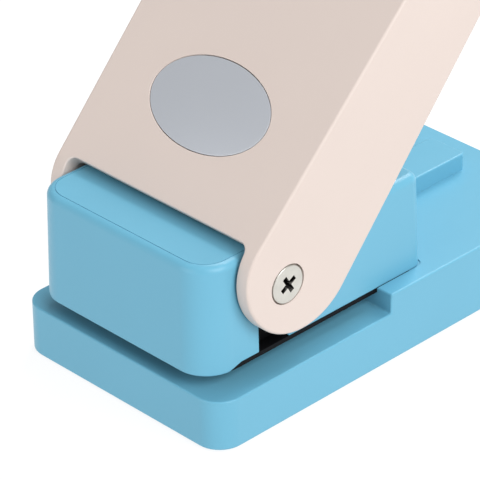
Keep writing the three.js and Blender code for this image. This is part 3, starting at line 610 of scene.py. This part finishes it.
def make_handle():
    handle = prism(handle_profile(), -OUTER, OUTER, sideways)
    keep = prism(rounded_plan(OUTER, -20, HANDLE_LENGTH, 0, FREE_CORNER), -BEYOND, BEYOND)
    combine(handle, keep, "INTERSECT")
    round_edges(handle, HANDLE_EDGE, 4)
    # The hollow under the top panel, and the opening between the arms.
    wall = OUTER - INNER
    cut(handle, prism(rounded_plan(INNER, -BEYOND, HANDLE_LENGTH - wall, 0, FREE_CORNER - wall),
                      -BEYOND, PANEL_UNDERSIDE))
    cut(handle, prism(rounded_plan(INNER, -BEYOND, ARM_GAP_END, 0, ARM_GAP_CORNER),
                      -BEYOND, BEYOND))
    for x in (-BRACKET_SCREW_X, BRACKET_SCREW_X):
        join(handle, post(x, BRACKET_SCREW_Y, BRACKET_BOSS_BOTTOM, PANEL_UNDERSIDE + 0.3,
                          BRACKET_BOSS_RADIUS))
        cut(handle, post(x, BRACKET_SCREW_Y, 0, PANEL_UNDERSIDE + 1.2, BRACKET_BOSS_BORE))
    pocket = loft("tool", [badge_oval(BADGE_GAP, HANDLE_TOP - 0.65),
                           badge_oval(BADGE_GAP, HANDLE_TOP - 0.06),
                           badge_oval(BADGE_MOUTH_GAP, HANDLE_TOP + 0.02),
                           badge_oval(BADGE_MOUTH_GAP, 20)])
    bend(pocket, unflare)
    cut(handle, pocket)
    for side in (-1, 1):
        ends = sorted((side * (OUTER - COUNTERBORE_DEPTH), side * (OUTER + 3)))
        cut(handle, rod(*ends, 0, COUNTERBORE_RISE, COUNTERBORE_RADIUS))
    cut(handle, rod(-BEYOND, BEYOND, 0, 0, AXLE_BORE))
    round_edges(handle, RIM_EDGE, 3, on_rim)
    bend(handle, flare)
    handle.data.transform(TO_HANDLE)
    dress(handle, "handle_moulding", "handle", "cream_plastic", ["handle_shell"])


def make_badge():
    """The oval plate: a straight wall, a rounded edge in five steps and a domed top."""
    top = HANDLE_TOP - BADGE_SUNK
    loops = [badge_oval(-0.05, HANDLE_TOP - 0.6), badge_oval(0, HANDLE_TOP - 0.5),
             badge_oval(0, top - BADGE_EDGE)]
    for step in range(1, 6):
        angle = math.radians(18 * step)
        loops.append(badge_oval(-BADGE_EDGE * (1 - math.cos(angle)),
                                top - BADGE_EDGE * (1 - math.sin(angle))))
    for share in (0.85, 0.7, 0.55, 0.4, 0.25, 0.1):
        points = ring(0, BADGE_Y, BADGE_A * share, OVAL_SIDES, BADGE_B * share)
        loops.append([(x, y, top + BADGE_DOME * (1 - share * share)) for x, y in points])
    badge = loft("badge", loops)
    badge.data.transform(TO_HANDLE)
    dress(badge, "oval_inlay", "handle", "silver", ["oval_badge"])


# ---------------------------------------------------------------- pivot screws

# From the shank's inner end to the middle of the head, as pairs of radius and x.
SCREW_PROFILE = [(1.5, 13.65), (1.5, OUTER - 0.9), (3.15, OUTER - 0.9), (3.25, OUTER - 0.8),
                 (3.25, OUTER - 0.16), (3.2, OUTER - 0.07), (3.07, OUTER - 0.01), (2.85, OUTER),
                 (1.6, OUTER + 0.02)]
# The cross recess tapers inwards: x, half length and half width of an arm.
CROSS_ARM = ((OUTER + 0.3, 1.7, 0.47), (OUTER - 0.3, 1.62, 0.43), (OUTER - 1.4, 1.0, 0.3))
CROSS_TURN = -15


def turned(profile, side):
    """A body turned about the X axis, from pairs of radius and x; side -1 mirrors it."""
    loops = [[(side * x, a, b) for a, b in ring(0, 0, radius, ROUND_SIDES)]
             for radius, x in profile]
    return loft("turned", loops)


def make_pivot_screw(side, name):
    screw = turned(SCREW_PROFILE, side)
    for turn in (0, 90):
        arm = []
        for x, long, wide in CROSS_ARM:
            corners = ((-long, -wide), (long, -wide), (long, wide), (-long, wide))
            arm.append([(side * x, a, b) for a, b in corners])
        slot = loft("slot", arm)
        slot.data.transform(Matrix.Rotation(math.radians(turn + CROSS_TURN), 4, "X"))
        cut(screw, slot)
    screw.data.transform(TO_HANDLE)
    dress(screw, f"pivot_screw_{name}_machined", "handle", "nickel", [f"pivot_screw_{name}"])


# ---------------------------------------------------------------- the smaller pieces

SPRING_WIRE, SPRING_WIRE_SIDES, SPRING_RADIUS = 0.45, 10, 5.15
SPRING_TURNS, SPRING_STEPS_PER_TURN = 6.8, 32
SPRING_DEAD_TURNS = 0.9     # flat turns at each end
SPRING_FOOT, SPRING_HEAD, SPRING_GAP = 12.83, 28.1, 0.05

PLAIN_WIDTH = 0.1           # the rounding of a small piece that is not listed below
WIDTHS = {"bottom_plate": 0.25, "chip_tray": 0.3, "die_plate": 0.2, "steel_frame": 0.12,
          "lever_bracket": 0.15, "press_pin": 0.2, "pivot_axle": 0.15}
RESHAPED = {"base_shell", "front_cover", "rear_cover", "handle_shell", "oval_badge",
            "pivot_screw_left", "pivot_screw_right", "return_spring"}

FLOOR_HALF_M, FLOOR_EMISSION = 6, 0.88
FLOOR_DROP = 0.02           # keeps the floor from lying in the plane of the feet


def make_spring():
    low = SPRING_FOOT + SPRING_WIRE + SPRING_GAP
    high = SPRING_HEAD - SPRING_WIRE - SPRING_GAP
    steps = int(SPRING_TURNS * SPRING_STEPS_PER_TURN)
    loops = []
    for i in range(steps + 1):
        wound = SPRING_TURNS * i / steps
        angle = 2 * math.pi * SPRING_TURNS * i / steps
        climb = (wound - SPRING_DEAD_TURNS) / (SPRING_TURNS - 2 * SPRING_DEAD_TURNS)
        height = low + (high - low) * min(max(climb, 0), 1)
        loop = []
        for a, b in ring(0, 0, SPRING_WIRE, SPRING_WIRE_SIDES):
            reach = SPRING_RADIUS + a
            loop.append((reach * math.cos(angle), PUNCH_Y + reach * math.sin(angle), height + b))
        loops.append(loop)
    spring = loft("spring", loops)
    dress(spring, "return_spring_wound", "base", "bright_steel", ["return_spring"])
    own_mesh(spring)


def soften(node, body, slot, width):
    """Stands in for a frame node: its facets merged and its edges rounded."""
    copy = bpy.data.objects.new(node, frame["nodes"][node].data.copy())
    bpy.context.scene.collection.objects.link(copy)
    round_edges(copy, width, 3, clamp=True)
    dress(copy, f"{node}_finished", body, slot, [node])


def make_small_pieces():
    behaviour = frame["record"]["behaviour"]["bodies"]
    body_of = {node: body for body, nodes in behaviour.items() for node in nodes}
    for part in frame["record"]["subparts"]:
        node = part["node"]
        if node not in RESHAPED:
            soften(node, body_of[node], part["material_slot"], WIDTHS.get(node, PLAIN_WIDTH))


def make_floor():
    bm = bmesh.new()
    bmesh.ops.create_grid(bm, x_segments=2, y_segments=2, size=FLOOR_HALF_M)
    floor = to_object("floor", bm)
    made = material("PaleFloor", (0.15, 0.15, 0.15), 0.8, vary=0.004, mottle=3, bump=0, edge_wear_highlight=0,
                    specular=0)
    shader = made.node_tree.nodes["Principled BSDF"]
    shader.inputs["Emission Color"].default_value = (1, 1, 1, 1)
    shader.inputs["Emission Strength"].default_value = FLOOR_EMISSION
    floor.data.materials.append(made)
    floor.location.z = -FLOOR_DROP * MM


make_camera()
make_studio()
MATERIALS = make_materials()
make_base()
make_front_cover()
make_rear_cover()
make_handle()
make_badge()
make_pivot_screw(1, "right")
make_pivot_screw(-1, "left")
make_spring()
make_small_pieces()
make_floor()
